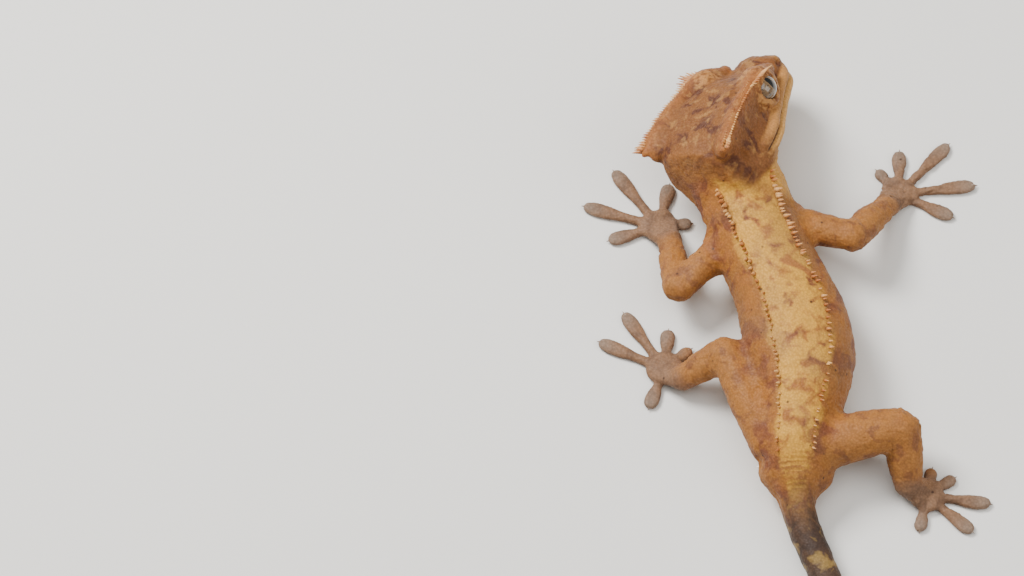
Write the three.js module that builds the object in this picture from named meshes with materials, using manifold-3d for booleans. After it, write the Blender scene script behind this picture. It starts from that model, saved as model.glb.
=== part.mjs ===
// A crested gecko as a still, life-size model, standing splayed on a floor with its head turned to its right.
// Millimetres, +Z up, head towards +Y, the animal's right side towards +X, soles on z = 0.
// The body is joined into one solid first, then parted by thin cuts into the pieces that a person would name.
import * as THREE from "three";
import { mergeVertices } from "three/addons/utils/BufferGeometryUtils.js";
import Module from "manifold-3d";

const wasm = await Module();
wasm.setup();

// Driving dimensions, in millimetres and degrees.
const CUT = 0.32; // gap that parts two neighbouring pieces
const FLOOR_DEPTH = 30;
const FLOOR_SPAN = 320;

const HEAD_PLACE = [-15.4, 24.7, 15.4]; // back of the skull, level with the line of the mouth
const HEAD_TURN = 26; // towards the animal's right
const HEAD_LIFT = -10; // snout down where it is below zero
const HEAD_ROLL = 37; // left side down
const HEAD_SCALE = 1.07; // of the sizes below that are in the head's own frame
const HEAD_LENGTH = 28.5; // back of the jaw to the snout's tip
const HEAD_WIDTH = 24;
const MOUTH_CORNER = 3.2; // how far in front of the skull's back the mouth ends
const LIP_RADIUS = 1.05;

const EYE_RADIUS = 3.7;
const EYE_PLACE = [7.0, 15.6, 6.0]; // sideways, forward and up in the head's own frame
const EYE_LOOK = [1, 0.2, 0.22]; // the way the eye's axis points
const EYE_RIM = 0.62;

const LASHES = 7;
const LASH_LENGTH = 2.3;
const CREST_SPINES = 13; // on each side of the head, behind the eye
const CREST_SPINE_LENGTH = 1.5;
const BACK_SPINES = 15; // on each side, from the neck to the hips
const BACK_SPINE_LENGTH = 1.15;
const SPINE_SIDES = 4;

const NECK_CUT = { place: [-10.8, 18.7, 15.5], facing: [-0.12, 1, 0], half: [16, 12.5] };
const TAIL_CUTS = 4; // the tail is parted into this many lengths
const TOE_CUT = 5.1; // from the middle of the palm to the root of a long toe
const TOE_ROOT = 2.3; // from the middle of the palm to where a toe starts inside it
const SHORT_TOE = 9;
const TOE_WIDTH = 2.25;
const PAD_WIDTH = 3.3;
const TOE_DEPTH = 1.9;
const CLAW_LENGTH = 1.3;
const CLAW_RADIUS = 0.42;

const UP = new THREE.Vector3(0, 0, 1);
const vec = (p) => new THREE.Vector3(...p);
const mix = (a, b, t) => a + (b - a) * t;
const radians = THREE.MathUtils.degToRad;

// Frame at a point whose forward direction is given: X to the right, Y forward, Z up.
function frameAt(place, forward, up = UP) {
  const right = new THREE.Vector3().crossVectors(forward, up).normalize();
  const above = new THREE.Vector3().crossVectors(right, forward).normalize();
  const frame = new THREE.Matrix4().makeBasis(right, forward.clone().normalize(), above);
  return frame.setPosition(place);
}

// A closed mesh with shared vertices becomes a solid.
function solidFrom(positions, index) {
  const vertProperties = new Float32Array(positions);
  return new wasm.Manifold(new wasm.Mesh({ numProp: 3, vertProperties, triVerts: new Uint32Array(index) }));
}

function solidOf(geometry, matrix) {
  const bare = geometry.clone().deleteAttribute("normal").deleteAttribute("uv");
  const merged = mergeVertices(bare.applyMatrix4(matrix), 1e-4);
  return solidFrom(merged.attributes.position.array, merged.index.array);
}

// One point of a cross-section: a superellipse whose half above is narrowed by taper and below by tuck.
function sectionPoint(s, angle) {
  const square = Math.sin(angle) > 0 ? s.crown : s.square;
  const bend = (v) => Math.sign(v) * Math.abs(v) ** (2 / square);
  const across = bend(Math.cos(angle));
  const rise = bend(Math.sin(angle));
  const narrow = rise > 0 ? 1 - s.taper * rise : 1 + s.tuck * rise;
  return [s.wide * across * narrow, rise > 0 ? s.up * rise : s.down * rise];
}

const SECTION_KEYS = ["wide", "up", "down", "square", "crown", "taper", "tuck"];
const ROUND = { square: 2, taper: 0, tuck: 0 };

// A station of a loft: where it is, and its cross-section.
function station(at, wide, up, more = {}) {
  const s = { ...ROUND, at, wide, up, ...more };
  return { ...s, down: s.down ?? up, crown: s.crown ?? s.square };
}

// Smooth curve through the stations, sampled at share t of the way along them.
function sampler(stations) {
  const spine = new THREE.CatmullRomCurve3(stations.map((s) => vec(s.at)), false, "catmullrom", 0.5);
  const sizes = SECTION_KEYS.map((key) => {
    const points = stations.map((s) => new THREE.Vector3(s[key], 0, 0));
    return new THREE.CatmullRomCurve3(points, false, "catmullrom", 0.5);
  });
  return (t) => {
    const s = { place: spine.getPoint(t), forward: spine.getTangent(t) };
    SECTION_KEYS.forEach((key, i) => (s[key] = sizes[i].getPoint(t).x));
    return s;
  };
}

// A closed loft through stations, with rounded ends that reach startRound and endRound past them.
function loft(stations, { sides = 12, steps = 12, startRound = 1, endRound = 1, capRings = 2 } = {}) {
  const at = sampler(stations);
  const rings = [];
  const cap = (t, reach, direction) => {
    for (let i = 1; i <= capRings; i++) {
      const angle = (i / (capRings + 1)) * (Math.PI / 2);
      rings.push({ t, shrink: Math.cos(angle), push: direction * reach * Math.sin(angle) });
    }
  };
  cap(0, startRound, -1);
  rings.reverse();
  for (let i = 0; i <= steps; i++) rings.push({ t: i / steps, shrink: 1, push: 0 });
  cap(1, endRound, 1);

  const positions = [];
  for (const ring of rings) {
    const s = at(ring.t);
    const frame = frameAt(s.place.clone().addScaledVector(s.forward, ring.push), s.forward);
    for (let k = 0; k < sides; k++) {
      const [x, z] = sectionPoint(s, ((k + 0.5) / sides) * 2 * Math.PI);
      positions.push(...new THREE.Vector3(x * ring.shrink, 0, z * ring.shrink).applyMatrix4(frame));
    }
  }
  const ends = [
    [at(0), -startRound],
    [at(1), endRound],
  ].map(([s, push]) => {
    positions.push(...s.place.addScaledVector(s.forward, push));
    return positions.length / 3 - 1;
  });

  const index = [];
  const last = (rings.length - 1) * sides;
  for (let k = 0; k < sides; k++) {
    const next = (k + 1) % sides;
    for (let r = 0; r < last; r += sides) {
      index.push(r + k, r + sides + k, r + next, r + next, r + sides + k, r + sides + next);
    }
    index.push(ends[0], k, next, ends[1], last + next, last + k);
  }
  return solidFrom(positions, index);
}

function ellipsoid(centre, radii, matrix = new THREE.Matrix4(), detail = 12) {
  const place = new THREE.Matrix4().makeTranslation(...centre).scale(vec(radii));
  return solidOf(new THREE.SphereGeometry(1, detail, detail - 4), place.premultiply(matrix));
}

// A cone with its base sunk at a point and its tip along a direction.
function spine(root, direction, length, radius, sunk = 0.5) {
  const way = direction.clone().normalize();
  const turn = new THREE.Quaternion().setFromUnitVectors(new THREE.Vector3(0, 1, 0), way);
  const middle = root.clone().addScaledVector(way, (length - sunk) / 2);
  const matrix = new THREE.Matrix4().compose(middle, turn, new THREE.Vector3(1, 1, 1));
  return solidOf(new THREE.ConeGeometry(radius, length + sunk, SPINE_SIDES), matrix);
}

// A thin square plate that parts the body at a point, facing along a direction.
function plate(place, facing, halfWidth, halfHeight = halfWidth, up = UP) {
  const frame = frameAt(place, facing, up);
  return solidOf(new THREE.BoxGeometry(2 * halfWidth, CUT, 2 * halfHeight), frame);
}

// Head, in its own frame: X to the right, Y forward, Z up, level with the mouth.
const headFrame = new THREE.Matrix4()
  .makeTranslation(...HEAD_PLACE)
  .multiply(new THREE.Matrix4().makeRotationZ(radians(-HEAD_TURN)))
  .multiply(new THREE.Matrix4().makeRotationX(radians(HEAD_LIFT)))
  .multiply(new THREE.Matrix4().makeRotationY(radians(-HEAD_ROLL)))
  .multiply(new THREE.Matrix4().makeScale(HEAD_SCALE, HEAD_SCALE, HEAD_SCALE));

const inHead = (p) => vec(p).applyMatrix4(headFrame);
const headWay = (p) => vec(p).transformDirection(headFrame);
const half = HEAD_WIDTH / 2;

// Wedge of the head from its back to the snout: forward, half width, height, depth and narrowing at the top.
function headSolid() {
  const sections = [
    [-5, 0.66, 8.4, 6.3, 0.06],
    [0, 0.88, 10.2, 6.8, 0.08],
    [5, 0.97, 10.9, 6.6, 0.18],
    [10, 0.88, 10.8, 6.0, 0.2],
    [15, 0.73, 9.3, 5.2, 0.2],
    [20, 0.56, 6.6, 4.4, 0.2],
    [25, 0.45, 6.0, 3.6, 0.24],
    [HEAD_LENGTH - 1.9, 0.36, 5.0, 2.7, 0.24],
  ];
  const stations = sections.map(([forward, share, up, down, taper]) =>
    station([0, forward, 0], share * half, up, { down, taper, tuck: 0.34, square: 2.5, crown: 4 }),
  );
  const wedge = loft(stations, { sides: 18, steps: 11, startRound: 1.6, endRound: 2.1 });
  return wedge.transform(headFrame.elements);
}

// Outline of the jaw seen from above, from the right corner round the snout to the left.
function jawOutline(inset, level) {
  const edge = [
    [0.955, MOUTH_CORNER + 1],
    [0.93, 9],
    [0.76, 14.5],
    [0.585, 20],
    [0.46, 25],
    [0.27, HEAD_LENGTH - 1.1],
  ];
  const right = edge.map(([share, forward]) => [share * half - inset, forward, level]);
  const tip = [0, HEAD_LENGTH + 0.2 - inset, level];
  return [...right, tip, ...right.map(([x, y, z]) => [-x, y, z]).reverse()];
}

function lip(inset, level, radius, up) {
  const stations = jawOutline(inset, level).map((at) => station(at, radius, up));
  const tube = loft(stations, { sides: 5, steps: 14, startRound: radius, endRound: radius, capRings: 1 });
  return tube.transform(headFrame.elements);
}

const eyeCentre = (side) => inHead([side * EYE_PLACE[0], EYE_PLACE[1], EYE_PLACE[2]]);
const eyeAxis = (side) => headWay([side * EYE_LOOK[0], EYE_LOOK[1], EYE_LOOK[2]]);

function eyeBall(side, radius, detail) {
  const place = new THREE.Matrix4().setPosition(eyeCentre(side));
  return solidOf(new THREE.SphereGeometry(radius, detail, detail - 6), place);
}

// Swelling of the head round an eye.
function orbit(side) {
  const [out, forward, up] = EYE_PLACE;
  return ellipsoid([side * (out - 0.7), forward, up - 0.1], [3.9, 5.2, 4.6], headFrame, 10);
}

// Raised scaly rim that stands in for lids, which this animal lacks.
function eyeRim(side) {
  const turn = new THREE.Quaternion().setFromUnitVectors(UP, eyeAxis(side));
  const place = eyeCentre(side).addScaledVector(eyeAxis(side), EYE_RADIUS * 0.42);
  const matrix = new THREE.Matrix4().compose(place, turn, new THREE.Vector3(1, 1, 1));
  return solidOf(new THREE.TorusGeometry(EYE_RADIUS * 0.98, EYE_RIM * 1.5, 5, 12), matrix);
}

// Line of the crest on the head: from before the eye, over it and out to the flap behind the temple.
function headCrestLine(side) {
  const points = [
    [5.2, 21.0, 5.9],
    [7.6, 16.2, 8.9],
    [8.3, 11, 9.8],
    [9.0, 5, 10.0],
    [9.7, 0, 9.6],
    [10.3, -4.4, 8.8],
  ];
  return points.map(([x, y, z]) => [side * x, y, z]);
}

function headCrestRidge(side) {
  const line = headCrestLine(side);
  const sizes = [0.8, 1.25, 1.3, 1.6, 1.8, 1.0];
  const stations = line.map((at, i) => station(at, sizes[i], sizes[i] * 0.8));
  const ridge = loft(stations, { sides: 5, steps: 8, startRound: 0.8, endRound: 0.9, capRings: 1 });
  return ridge.transform(headFrame.elements);
}

// The shelf of skin under the crest, out to its rear corner, and the swellings of the nose.
function headSwellings(side) {
  return [
    ellipsoid([side * 7.9, 5.6, 7.9], [2.0, 9.0, 2.3], headFrame, 10),
    ellipsoid([side * 8.6, -0.6, 7.3], [1.9, 4.4, 2.4], headFrame, 10),
    ellipsoid([side * 2.9, 25.6, 3.3], [1.9, 2.6, 1.6], headFrame, 10),
  ];
}

// Small repeatable variation between -1 and 1.
const varied = (i) => Math.sin(i * 12.9898 + 4.1414);

function headSpines(side) {
  const line = new THREE.CatmullRomCurve3(headCrestLine(side).map(vec));
  const spines = [];
  for (let i = 0; i < CREST_SPINES; i++) {
    const t = mix(0.45, 0.985, i / (CREST_SPINES - 1));
    const length = CREST_SPINE_LENGTH * (0.9 + 0.45 * t + 0.16 * varied(i));
    const way = [side * mix(0.75, 1.15, t), -0.25 - 0.35 * t, 0.75];
    const root = line.getPointAt(t).add(vec([side * 0.75, 0, 0.3]));
    spines.push(spine(root.applyMatrix4(headFrame), headWay(way), length, 0.5, 0.7));
  }
  for (let i = 0; i < LASHES; i++) {
    const t = mix(0.06, 0.4, i / (LASHES - 1));
    const share = i / (LASHES - 1);
    const length = LASH_LENGTH * (0.72 + 0.4 * Math.sin(Math.PI * share) + 0.12 * varied(i + 3));
    const way = [side * 1.0, mix(0.5, -0.55, share), 0.75];
    const root = line.getPointAt(t).add(vec([side * 0.7, 0, 0.2]));
    spines.push(spine(root.applyMatrix4(headFrame), headWay(way), length, 0.46, 0.7));
  }
  return spines;
}

// Nostrils and ear openings, as dents.
function headDents() {
  return [1, -1].flatMap((side) => [
    ellipsoid([side * 4.6, HEAD_LENGTH - 2.5, 3.7], [0.75, 0.72, 0.55], headFrame, 8),
    ellipsoid([side * 10.7, -0.6, 3.2], [1.15, 0.7, 1.7], headFrame, 8),
  ]);
}

// Neck, trunk and tail: middle of each section, half width, height above and depth below it.
const AXIS = [
  station([-12.9, 26.2, 14.6], 8.6, 6.8, { down: 6.4, square: 2.2, taper: 0.1 }),
  station([-9.9, 20.8, 13.6], 9.8, 7.2, { down: 7.1, square: 2.2, taper: 0.12 }),
  station([-7.9, 15.4, 12.9], 9.9, 7.5, { down: 7.5, square: 2.2, taper: 0.14 }),
  station([-6.0, 10.0, 12.3], 10.1, 7.9, { down: 8.0, square: 2.25, taper: 0.16 }),
  station([-3.6, 3.6, 12.0], 10.2, 8.3, { down: 8.4, square: 2.3, taper: 0.16 }),
  station([-0.7, -3.4, 12.0], 10.7, 8.7, { down: 8.8, square: 2.3, taper: 0.16 }),
  station([1.6, -10.8, 12.0], 11.7, 8.9, { down: 9.0, square: 2.3, taper: 0.16 }),
  station([2.8, -18.2, 12.0], 11.9, 8.9, { down: 9.0, square: 2.3, taper: 0.16 }),
  station([3.0, -25.5, 11.8], 10.7, 8.6, { down: 8.7, square: 2.3, taper: 0.16 }),
  station([2.5, -32.6, 11.3], 8.9, 8.0, { down: 7.9, square: 2.3, taper: 0.14 }),
  station([1.7, -39.4, 10.6], 7.7, 7.2, { down: 7.2, square: 2.2, taper: 0.1 }),
  station([1.6, -44.8, 8.8], 6.2, 5.9, { down: 6.3, square: 2.1 }),
  station([1.8, -50.4, 6.6], 3.9, 4.1, { down: 4.4 }),
  station([3.4, -57.4, 4.9], 3.5, 3.6, { down: 4.3 }),
  station([7.4, -67.6, 4.1], 3.3, 3.3, { down: 3.9 }),
  station([11.4, -79.0, 3.7], 3.05, 3.0, { down: 3.6 }),
  station([12.6, -91.6, 3.3], 2.8, 2.75, { down: 3.3 }),
  station([10.0, -104.0, 2.9], 2.4, 2.35, { down: 2.9 }),
  station([4.6, -114.8, 2.4], 2.0, 1.9, { down: 2.5 }),
  station([-2.2, -123.6, 2.0], 1.7, 1.5, { down: 2.1 }),
  station([-9.8, -128.6, 1.4], 1.95, 0.85, { down: 1.5 }),
];
const FIRST_BACK_STATION = 1;
const LAST_BACK_STATION = 9.4;
const HIP_STATION = 10;
const VENT_STATION = 12.25;
const axisAt = sampler(AXIS);
const axisShare = (stationNumber) => stationNumber / (AXIS.length - 1);

const axisSolid = () => loft(AXIS, { sides: 16, steps: 42, startRound: 2, endRound: 1.9 });

// Swelling behind the vent on a male, with one spur on each side.
function ventSwelling() {
  const centre = [1.9, -45.2, 6.7];
  const spurs = [1, -1].map((side) =>
    spine(vec([centre[0] + side * 7.2, centre[1] + 1.9, 6.6]), vec([side * 1, -0.35, 0.15]), 1.3, 0.6, 0.8),
  );
  return [ellipsoid(centre, [7.7, 5.2, 5.3], new THREE.Matrix4(), 16), ...spurs];
}

// Two rows of small spines along the back, which shrink towards the hips.
function backSpines() {
  const spines = [];
  for (const side of [1, -1]) {
    for (let i = 0; i < BACK_SPINES; i++) {
      const along = i / (BACK_SPINES - 1);
      const s = axisAt(axisShare(mix(FIRST_BACK_STATION + 0.2, LAST_BACK_STATION, along)));
      const frame = frameAt(s.place, s.forward);
      const [x, z] = sectionPoint(s, radians(mix(48, 58, along)));
      const root = new THREE.Vector3(side * x, 0, z).applyMatrix4(frame);
      const way = new THREE.Vector3(side * 0.75, -0.35, 1).transformDirection(frame);
      const length = BACK_SPINE_LENGTH * (1.15 - 0.5 * along + 0.15 * varied(i + 7));
      spines.push(spine(root, way, length, 0.45, 0.6));
    }
  }
  return spines;
}

// A limb's two long bones as one loft through joint and mid-bone stations, root to wrist or ankle.
function limbSolid({ root, bend, end, girth }) {
  const between = (a, b, t, lift) => a.map((v, i) => mix(v, b[i], t) + (i === 2 ? lift : 0));
  const points = [root, between(root, bend, 0.5, 0.3), bend, between(bend, end, 0.5, 0.2), end];
  const proximal = points.slice(0, 3).map((at, i) => station(at, girth[i], girth[i] * 0.88));
  const distal = points.slice(2).map((at, i) => station(at, girth[i + 2], girth[i + 2] * 0.84));
  const ends = { sides: 10, steps: 4 };
  return [
    loft(proximal, { ...ends, startRound: girth[0] * 0.6, endRound: girth[2] * 0.62 }),
    loft(distal, { ...ends, startRound: girth[2] * 0.62, endRound: girth[4] * 0.6 }),
  ];
}

// Toe from the middle of the palm to its tip, on a flat pad, with a claw.
function toeSolid(palm, tip) {
  const reach = vec(tip).sub(vec(palm));
  const length = reach.length();
  const along = (t) => vec(palm).addScaledVector(reach, t).toArray();
  const flat = TOE_DEPTH / 2;
  const short = length < SHORT_TOE ? 0.85 : 1;
  const stations = [
    station(along(TOE_ROOT / length), TOE_WIDTH * 0.5, flat, { square: 2.2 }),
    station(along(0.45), TOE_WIDTH * 0.47 * short, flat, { square: 2.2 }),
    station(along(0.68), PAD_WIDTH * 0.46 * short, flat * 0.86, { square: 2.3 }),
    station(along(0.86), PAD_WIDTH * 0.5 * short, flat * 0.78, { square: 2.3 }),
    station(along(0.95), PAD_WIDTH * 0.4 * short, flat * 0.72, { square: 2.3 }),
  ];
  const endRound = length * 0.05 + 0.5;
  const pad = loft(stations, { sides: 8, steps: 4, startRound: 0.6, endRound, capRings: 1 });
  const downward = reach.clone().setZ(0).normalize().setZ(-0.12);
  const root = vec(tip).add(new THREE.Vector3(0, 0, 0.25));
  return pad.add(spine(root, downward, CLAW_LENGTH, CLAW_RADIUS, 0.9));
}

function palmSolid(wrist, palm, breadth) {
  const reach = vec(palm).sub(vec(wrist));
  const beyond = vec(palm).addScaledVector(reach.setZ(0).normalize(), breadth * 0.35).toArray();
  const stations = [
    station(wrist, breadth * 0.56, 2.0),
    station(palm, breadth * 0.92, 1.55, { square: 2.2 }),
    station(beyond, breadth * 0.88, 1.3, { square: 2.2 }),
  ];
  return loft(stations, { sides: 8, steps: 3, startRound: 1.2, endRound: breadth * 0.5 });
}

const TOE_LEVEL = 0.72; // height of the middle of a toe above the floor
const PALM_LEVEL = 1.25;

// The four limbs, by their joints, girths at root, mid, bend, mid and end, and toe tips from first to fifth.
const LIMBS = {
  fore_left: {
    names: ["upper_arm_left", "forearm_left", "hand_left"],
    root: [-12.6, 8.4, 10.6],
    bend: [-23.4, -2.2, 9.6],
    end: [-24.9, 12.4, 3.8],
    palm: [-27.3, 17.4, PALM_LEVEL],
    girth: [3.9, 3.4, 3.2, 3.3, 2.5],
    breadth: 4.3,
    toes: [
      [-20.6, 18.3],
      [-25.0, 27.4],
      [-36.8, 30.8],
      [-43.2, 22.4],
      [-37.8, 14.2],
    ],
    rootCut: { place: [-15.6, 5.6, 9.9], facing: [-1, -0.35, 0], half: [7.4, 8] },
  },
  fore_right: {
    names: ["upper_arm_right", "forearm_right", "hand_right"],
    root: [0.6, 13.6, 10.6],
    bend: [14.6, 9.6, 11.4],
    end: [22.4, 21.2, 3.8],
    palm: [25.0, 25.4, PALM_LEVEL],
    girth: [4.0, 3.6, 3.4, 3.4, 2.5],
    breadth: 4.3,
    toes: [
      [20.6, 31.0],
      [25.4, 35.6],
      [35.9, 37.4],
      [41.4, 27.6],
      [36.4, 20.0],
    ],
    rootCut: { place: [4.9, 12.4, 10.7], facing: [1, 0.12, 0], half: [6, 7] },
  },
  hind_left: {
    names: ["thigh_left", "shin_left", "foot_left"],
    root: [-3.4, -39.0, 9.6],
    bend: [-13.0, -18.4, 11.0],
    end: [-22.6, -21.2, 4.0],
    palm: [-26.3, -17.3, PALM_LEVEL],
    girth: [5.1, 4.7, 3.9, 3.6, 2.7],
    breadth: 4.2,
    toes: [
      [-20.8, -12.6],
      [-25.4, -8.2],
      [-34.8, -4.0],
      [-40.0, -10.8],
      [-29.6, -26.2],
    ],
    rootCut: { place: [-7.9, -29.5, 9.5], facing: [-1, -0.12, 0], half: [14.5, 9] },
  },
  hind_right: {
    names: ["thigh_right", "shin_right", "foot_right"],
    root: [6.0, -40.2, 9.6],
    bend: [24.3, -36.6, 12.0],
    end: [25.9, -46.9, 4.0],
    palm: [29.8, -47.8, PALM_LEVEL],
    girth: [5.6, 5.4, 4.3, 4.0, 3.0],
    breadth: 4.2,
    toes: [
      [31.2, -41.6],
      [35.8, -43.6],
      [43.2, -49.6],
      [39.4, -56.0],
      [28.4, -55.8],
    ],
    rootCut: { place: [12.2, -38.9, 10.2], facing: [1, 0.12, 0], half: [6.9, 9] },
  },
};
const TOE_NAMES = ["first", "second", "third", "fourth", "fifth"];

function limbPieces(limb) {
  const toes = limb.toes.map(([x, y]) => [x, y, TOE_LEVEL]);
  return [
    ...limbSolid(limb),
    palmSolid(limb.end, limb.palm, limb.breadth),
    ...toes.map((tip) => toeSolid([limb.palm[0], limb.palm[1], TOE_LEVEL + 0.1], tip)),
  ];
}

// Thin plates that part a limb at its root, elbow or knee, wrist or ankle, and at each toe's root.
function limbCuts(limb) {
  const [root, bend, end, palm] = [limb.root, limb.bend, limb.end, limb.palm].map(vec);
  const proximal = bend.clone().sub(root).normalize();
  const distal = end.clone().sub(bend).normalize();
  const hand = palm.clone().sub(end).normalize();
  const fold = proximal.clone().negate().angleTo(distal);
  const crotch = (1.25 * limb.girth[2]) / Math.sin(fold / 2);
  const cuts = [
    plate(vec(limb.rootCut.place), vec(limb.rootCut.facing), ...limb.rootCut.half),
    plate(bend, proximal.clone().add(distal), crotch, limb.girth[2] * 1.7),
    plate(end, distal.clone().add(hand), limb.girth[4] * 1.7),
  ];
  for (const tip of limb.toes) {
    const way = vec([tip[0] - palm.x, tip[1] - palm.y, 0]);
    const distance = way.length() < SHORT_TOE ? TOE_CUT * 0.82 : TOE_CUT;
    const place = palm.clone().setZ(TOE_LEVEL).addScaledVector(way.normalize(), distance);
    cuts.push(plate(place, way, TOE_WIDTH * 0.72, 3));
  }
  return cuts;
}

// Pieces of the trunk and tail, each from one cut to the next, as station numbers along the axis.
function axisCuts() {
  const tailStep = (AXIS.length - 1 - VENT_STATION) / TAIL_CUTS;
  const numbers = [2.15, HIP_STATION - 1.3];
  for (let i = 0; i < TAIL_CUTS; i++) numbers.push(VENT_STATION + tailStep * i);
  return numbers.map((n) => {
    const s = axisAt(axisShare(n));
    return { number: n, plate: plate(s.place, s.forward, s.wide + 1.6, s.up * 1.5) };
  });
}

// The line of the mouth, the cut behind the lower jaw, and the cut between head and neck.
function headCuts() {
  const lineLength = HEAD_LENGTH + 3 - MOUTH_CORNER;
  const mouth = solidOf(
    new THREE.BoxGeometry(HEAD_WIDTH + 6, lineLength, CUT),
    new THREE.Matrix4().makeTranslation(0, MOUTH_CORNER + lineLength / 2, 0).premultiply(headFrame),
  );
  const jawSlope = new THREE.Matrix4()
    .makeTranslation(0, MOUTH_CORNER - 2.26, -6.2)
    .multiply(new THREE.Matrix4().makeRotationX(radians(-20)));
  const jaw = solidOf(new THREE.BoxGeometry(HEAD_WIDTH + 2, CUT, 13.2), jawSlope.premultiply(headFrame));
  const neck = plate(vec(NECK_CUT.place), vec(NECK_CUT.facing), ...NECK_CUT.half);
  return [mouth, jaw, neck];
}

function wholeBody() {
  const sides = [1, -1];
  const forms = [
    headSolid(),
    lip(0.15, LIP_RADIUS * 0.95, LIP_RADIUS, LIP_RADIUS),
    lip(0.2, -LIP_RADIUS * 1.05, LIP_RADIUS * 1.12, LIP_RADIUS),
    ...sides.flatMap((side) => [
      ellipsoid([side * 10.3, MOUTH_CORNER + 0.8, -1.9], [1.8, 4.0, 2.0], headFrame),
      orbit(side),
      eyeRim(side),
      headCrestRidge(side),
      ...headSwellings(side),
      ...headSpines(side),
    ]),
    axisSolid(),
    ...ventSwelling(),
    ...backSpines(),
    ...Object.values(LIMBS).flatMap(limbPieces),
  ];
  const hollows = [...headDents(), ...sides.map((side) => eyeBall(side, EYE_RADIUS + CUT, 14))];
  const floor = solidOf(
    new THREE.BoxGeometry(FLOOR_SPAN, FLOOR_SPAN, FLOOR_DEPTH),
    new THREE.Matrix4().makeTranslation(0, -40, -FLOOR_DEPTH / 2),
  );
  const cuts = [...headCuts(), ...axisCuts().map((c) => c.plate), ...Object.values(LIMBS).flatMap(limbCuts)];
  return wasm.Manifold.union(forms).subtract(wasm.Manifold.union([...hollows, ...cuts, floor]));
}

// A point well inside each named piece, by which it is found after the cuts.
function namedPlaces() {
  const places = {
    head: inHead([0, 8, 4]),
    lower_jaw: inHead([0, 12, -2.5]),
    neck: axisAt(axisShare(1.45)).place,
    torso: axisAt(axisShare(5)).place,
    hips: axisAt(axisShare(HIP_STATION + 0.4)).place,
  };
  const tail = axisCuts().slice(2).map((c) => c.number);
  tail.forEach((number, i) => {
    const next = tail[i + 1] ?? AXIS.length - 1;
    places[`tail_${i + 1}`] = axisAt(axisShare((number + next) / 2)).place;
  });
  for (const limb of Object.values(LIMBS)) {
    const [root, bend, end, palm] = [limb.root, limb.bend, limb.end, limb.palm].map(vec);
    const [upper, lower, foot] = limb.names;
    places[upper] = root.clone().lerp(bend, 0.8);
    places[lower] = bend.clone().lerp(end, 0.5);
    places[foot] = palm.clone();
    limb.toes.forEach(([x, y], i) => {
      places[`${foot}_${TOE_NAMES[i]}_toe`] = palm.clone().lerp(vec([x, y, TOE_LEVEL]), 0.86).setZ(TOE_LEVEL);
    });
  }
  return places;
}

// The piece of the parted body that holds a point.
function pieceAt(pieces, place) {
  const probe = ellipsoid(place.toArray(), [0.15, 0.15, 0.15], new THREE.Matrix4(), 6);
  return pieces.find((piece) => {
    const { min, max } = piece.boundingBox();
    const near = place.toArray().every((v, i) => v > min[i] && v < max[i]);
    return near && piece.intersect(probe).volume() > 0;
  });
}

const skin = (color) => new THREE.MeshStandardMaterial({ color, roughness: 0.62, metalness: 0 });
const LOOKS = {
  head: skin("#c08a57"),
  trunk: skin("#cf9f5f"),
  tail: skin("#7d6350"),
  limb: skin("#c4955f"),
  foot: skin("#97796a"),
  eye: new THREE.MeshStandardMaterial({ color: "#3a2e28", roughness: 0.08, metalness: 0 }),
};

function lookOf(name) {
  if (/^eye/.test(name)) return LOOKS.eye;
  if (/toe|^hand|^foot/.test(name)) return LOOKS.foot;
  if (/^tail/.test(name)) return LOOKS.tail;
  if (/arm|thigh|shin/.test(name)) return LOOKS.limb;
  return /head|jaw/.test(name) ? LOOKS.head : LOOKS.trunk;
}

function meshOf(name, solid) {
  const { numProp, vertProperties, triVerts } = solid.getMesh();
  const geometry = new THREE.BufferGeometry();
  geometry.setAttribute("position", new THREE.BufferAttribute(vertProperties, numProp));
  geometry.setIndex(new THREE.BufferAttribute(triVerts, 1));
  geometry.computeVertexNormals();
  const mesh = new THREE.Mesh(geometry, lookOf(name));
  mesh.name = name;
  return mesh;
}

const gecko = new THREE.Group();
const pieces = wholeBody().decompose();
for (const [name, place] of Object.entries(namedPlaces())) {
  const piece = pieceAt(pieces, place);
  if (!piece) throw new Error(`no piece holds the point for ${name}`);
  gecko.add(meshOf(name, piece));
}
gecko.add(meshOf("eye_right", eyeBall(1, EYE_RADIUS, 14)));
gecko.add(meshOf("eye_left", eyeBall(-1, EYE_RADIUS, 14)));

// The origin is the middle of the bounding box, at the floor.
const box = new THREE.Box3().setFromObject(gecko);
const middle = box.getCenter(new THREE.Vector3());
gecko.position.set(-middle.x, -middle.y, -box.min.z);

export default gecko;
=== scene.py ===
"""A life-size crested gecko that stands splayed on a pale floor, seen from above its back.

Its shape is worked out in millimetres in the body's own frame: head towards +Y, the animal's right
towards +X, soles on z = 0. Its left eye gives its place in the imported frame, and the pieces are in metres.
"""

import itertools
import math

import bpy
import numpy as np
from mathutils import Matrix, Vector, noise


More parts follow.
